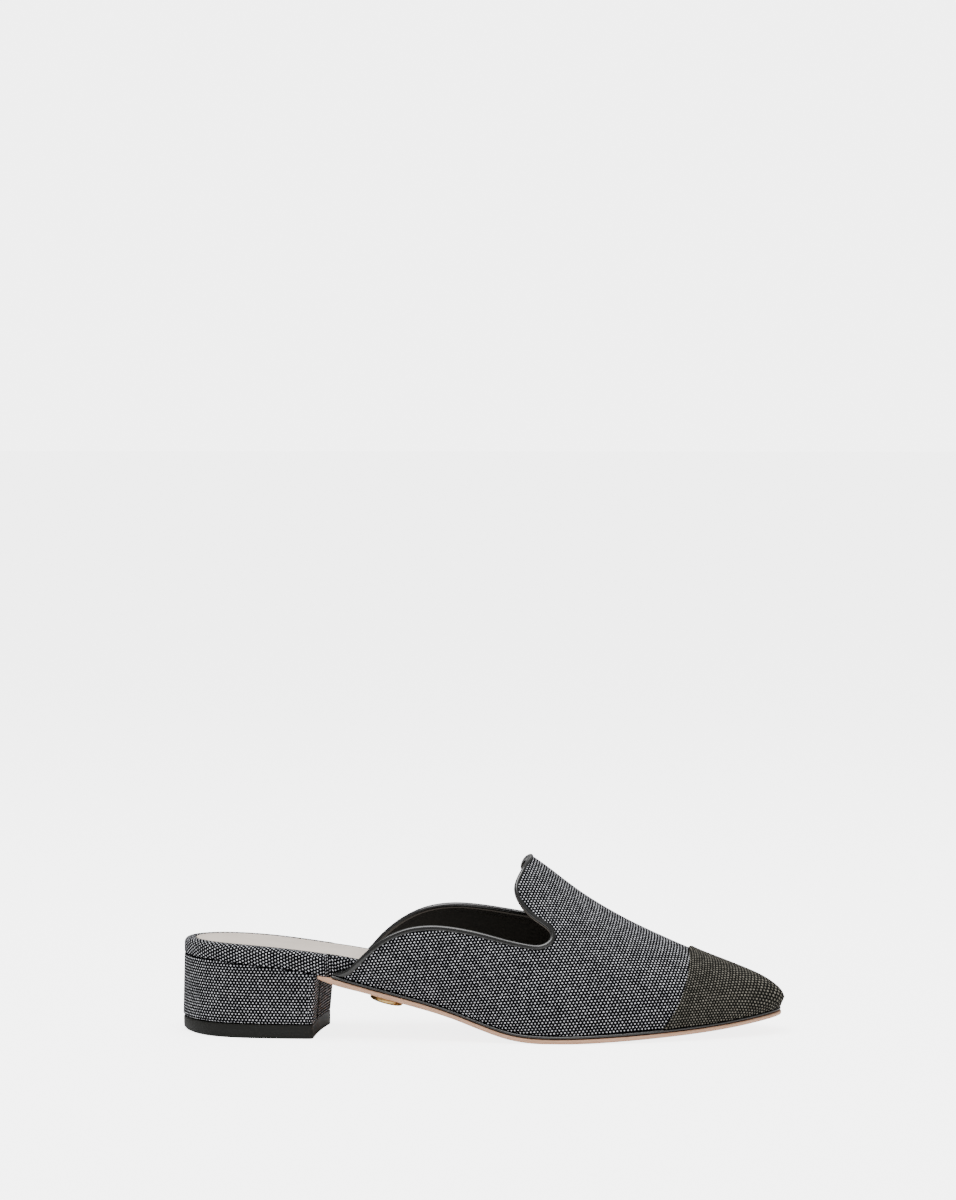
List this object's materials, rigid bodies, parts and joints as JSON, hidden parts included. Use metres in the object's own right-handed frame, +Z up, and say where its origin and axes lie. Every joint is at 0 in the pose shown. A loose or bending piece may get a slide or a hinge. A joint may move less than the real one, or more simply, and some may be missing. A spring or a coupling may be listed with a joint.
{
  "type": "cap-toe mule",
  "caption": "Right-foot slip-on mule with a cloth upper, capped toe, bound topline, wrapped footbed and covered block heel.",
  "frame": {"origin": "on the floor, at the middle of the heel tip's underside", "axes": "+X to the toe, +Z up, -Y to the outer (lateral) side of the right foot"},
  "size_m": [0.2623, 0.0784, 0.0768],
  "materials": {
    "upper": "dotted plain-weave canvas",
    "toe_cap": "dark plain-weave canvas",
    "topline_binding": "satin binding",
    "footbed": "canvas wrapped on the bias",
    "sock_lining": "smooth pale leather",
    "outsole": "natural sole leather",
    "rand": "satin black strip",
    "heel_block": "canvas cover",
    "heel_tip": "matte",
    "sole_stud": "polished"
  },
  "bodies": {
    "root": {"upper": "upper", "toe_cap": "toe_cap", "topline_binding": "topline_binding", "footbed": "footbed", "sock_lining": "sock_lining", "outsole": "outsole", "rand": "rand", "heel_block": "heel_block", "heel_tip": "heel_tip", "sole_stud": "sole_stud"}
  },
  "joints": []
}
